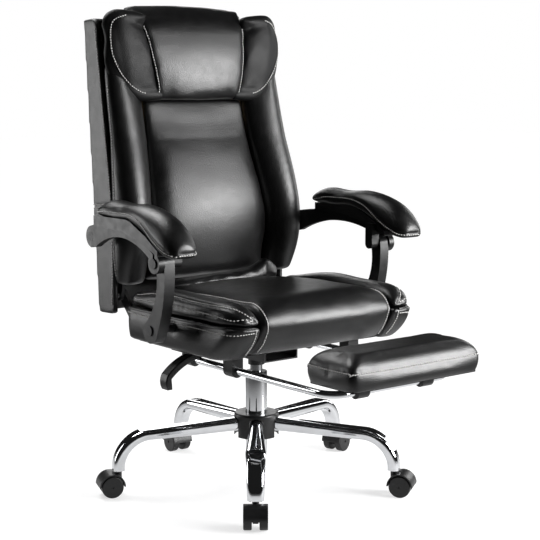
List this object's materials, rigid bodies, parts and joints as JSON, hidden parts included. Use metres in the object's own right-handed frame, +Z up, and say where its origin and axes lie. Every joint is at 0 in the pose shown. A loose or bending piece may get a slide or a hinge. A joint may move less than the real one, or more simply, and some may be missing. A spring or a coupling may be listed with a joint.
{
  "type": "office_chair",
  "caption": "High-backed black leather office chair that reclines, with linked padded arms, a pull-out footrest and a chromed star base on castors",
  "frame": {"origin": "on the floor, under the middle of the column", "axes": "+Z up, the chair faces -Y, +X is the chair's own left side"},
  "size_m": [0.7298, 0.9131, 1.1156],
  "materials": {
    "leather": "semi-gloss grained black PU leather",
    "black_plastic": "satin black moulded plastic",
    "castor_nylon": "matte black nylon",
    "chrome": "polished chrome plate",
    "steel": "zinc plated steel",
    "black_steel": "black powder coat",
    "plywood": "raw birch plywood"
  },
  "bodies": {
    "base": {"base_hub": "steel", "castor_stems": "steel", "thrust_bearing": "steel", "hub_cover": "black_plastic", "column_bush": "black_plastic", "column_tube": "chrome", "base_leg_1": "chrome", "base_leg_2": "chrome", "base_leg_3": "chrome", "base_leg_4": "chrome", "base_leg_5": "chrome"},
    "column": {"piston_rod": "steel", "rod_clip": "steel"},
    "castor_1": {"castor_hood_1": "castor_nylon"},
    "castor_1_wheels": {"castor_wheels_1": "castor_nylon"},
    "castor_2": {"castor_hood_2": "castor_nylon"},
    "castor_2_wheels": {"castor_wheels_2": "castor_nylon"},
    "castor_3": {"castor_hood_3": "castor_nylon"},
    "castor_3_wheels": {"castor_wheels_3": "castor_nylon"},
    "castor_4": {"castor_hood_4": "castor_nylon"},
    "castor_4_wheels": {"castor_wheels_4": "castor_nylon"},
    "castor_5": {"castor_hood_5": "castor_nylon"},
    "castor_5_wheels": {"castor_wheels_5": "castor_nylon"},
    "seat": {"gas_cylinder": "chrome", "mechanism_housing": "black_steel", "recline_brackets": "black_steel", "arm_brackets": "black_steel", "mechanism_bolts": "steel", "seat_board": "plywood", "seat_base": "leather", "seat_cushion": "leather", "seat_bolster_left": "leather", "seat_bolster_right": "leather", "footrest_guides": "black_plastic"},
    "button": {"release_button": "steel"},
    "lever": {"lever_rod": "steel", "lever_grip": "black_plastic"},
    "back": {"back_shell": "leather", "back_cushion": "leather", "back_bolster_left": "leather", "back_bolster_right": "leather", "headrest_cushion": "leather", "headrest_wing_left": "leather", "headrest_wing_right": "leather", "back_board": "plywood", "recline_ears": "black_steel", "arm_rear_pins": "black_steel", "recline_pins": "steel"},
    "post_left": {"arm_post_left": "black_plastic"},
    "arm_left": {"arm_bar_left": "black_plastic", "arm_pad_left": "leather", "arm_pin_left": "black_steel"},
    "post_right": {"arm_post_right": "black_plastic"},
    "arm_right": {"arm_bar_right": "black_plastic", "arm_pad_right": "leather", "arm_pin_right": "black_steel"},
    "footrest": {"footrest_frame": "chrome"},
    "footrest_pad": {"footrest_pad": "leather", "footrest_board": "plywood", "footrest_clips": "black_plastic"}
  },
  "joints": [
    {"name": "seat_swivel", "type": "hinge", "parent": "base", "child": "column", "pos_m": [0, 0, 0.1], "axis": [0, 0, 1], "continuous": true},
    {"name": "seat_lift", "type": "slide", "parent": "column", "child": "seat", "axis": [0, 0, 1], "range_m": [0, 0.08]},
    {"name": "recline", "type": "hinge", "parent": "seat", "child": "back", "pos_m": [0, 0.262, 0.431], "axis": [-1, 0, 0], "range_deg": [0, 45]},
    {"name": "height_lever", "type": "hinge", "parent": "seat", "child": "lever", "pos_m": [-0.03, 0, 0.3315], "axis": [0, 1, 0], "range_deg": [0, 4.5], "stiffness_Nm_per_rad": 2, "springref_deg": -11.46},
    {"name": "release_button", "type": "slide", "parent": "seat", "child": "button", "axis": [0, 0, -1], "range_m": [0, 0.00236]},
    {"name": "footrest_slide", "type": "slide", "parent": "seat", "child": "footrest", "axis": [0, 1, 0], "range_m": [0, 0.25]},
    {"name": "footrest_flip", "type": "hinge", "parent": "footrest", "child": "footrest_pad", "pos_m": [0, -0.457, 0.311], "axis": [1, 0, 0], "range_deg": [0, 180]},
    {"name": "post_left_pivot", "type": "hinge", "parent": "seat", "child": "post_left", "pos_m": [0.307, -0.043, 0.401], "axis": [-1, 0, 0], "range_deg": [0, 45]},
    {"name": "arm_left_knuckle", "type": "hinge", "parent": "post_left", "child": "arm_left", "pos_m": [0.307, -0.084, 0.55], "axis": [-1, 0, 0], "range_deg": [-45, 0]},
    {"name": "post_right_pivot", "type": "hinge", "parent": "seat", "child": "post_right", "pos_m": [-0.307, -0.043, 0.401], "axis": [-1, 0, 0], "range_deg": [0, 45]},
    {"name": "arm_right_knuckle", "type": "hinge", "parent": "post_right", "child": "arm_right", "pos_m": [-0.307, -0.084, 0.55], "axis": [-1, 0, 0], "range_deg": [-45, 0]},
    {"name": "castor_1_swivel", "type": "hinge", "parent": "base", "child": "castor_1", "pos_m": [-0.20194, -0.25847, 0.06], "axis": [0, 0, 1], "continuous": true},
    {"name": "castor_1_roll", "type": "hinge", "parent": "castor_1", "child": "castor_1_wheels", "pos_m": [-0.21302, -0.27265, 0.025], "axis": [0.788, -0.6157, 0], "continuous": true},
    {"name": "castor_2_swivel", "type": "hinge", "parent": "base", "child": "castor_2", "pos_m": [0.18342, -0.27192, 0.06], "axis": [0, 0, 1], "continuous": true},
    {"name": "castor_2_roll", "type": "hinge", "parent": "castor_2", "child": "castor_2_wheels", "pos_m": [0.19348, -0.28685, 0.025], "axis": [0.829, 0.5592, 0], "continuous": true},
    {"name": "castor_3_swivel", "type": "hinge", "parent": "base", "child": "castor_3", "pos_m": [0.31529, 0.09041, 0.06], "axis": [0, 0, 1], "continuous": true},
    {"name": "castor_3_roll", "type": "hinge", "parent": "castor_3", "child": "castor_3_wheels", "pos_m": [0.3326, 0.09537, 0.025], "axis": [-0.2756, 0.9613, 0], "continuous": true},
    {"name": "castor_4_swivel", "type": "hinge", "parent": "base", "child": "castor_4", "pos_m": [0.01145, 0.3278, 0.06], "axis": [0, 0, 1], "continuous": true},
    {"name": "castor_4_roll", "type": "hinge", "parent": "castor_4", "child": "castor_4_wheels", "pos_m": [0.01208, 0.34579, 0.025], "axis": [-0.9994, 0.0349, 0], "continuous": true},
    {"name": "castor_5_swivel", "type": "hinge", "parent": "base", "child": "castor_5", "pos_m": [-0.30822, 0.11218, 0.06], "axis": [0, 0, 1], "continuous": true},
    {"name": "castor_5_roll", "type": "hinge", "parent": "castor_5", "child": "castor_5_wheels", "pos_m": [-0.32513, 0.11834, 0.025], "axis": [-0.342, -0.9397, 0], "continuous": true}
  ],
  "couplings": [
    {"joint": "release_button", "follows": "height_lever", "m_per_rad": 0.03},
    {"joint": "footrest_flip", "follows": "footrest_slide", "rad_per_m": 12.566},
    {"joint": "post_left_pivot", "follows": "recline", "ratio": 1},
    {"joint": "arm_left_knuckle", "follows": "recline", "ratio": -1},
    {"joint": "post_right_pivot", "follows": "recline", "ratio": 1},
    {"joint": "arm_right_knuckle", "follows": "recline", "ratio": -1}
  ]
}
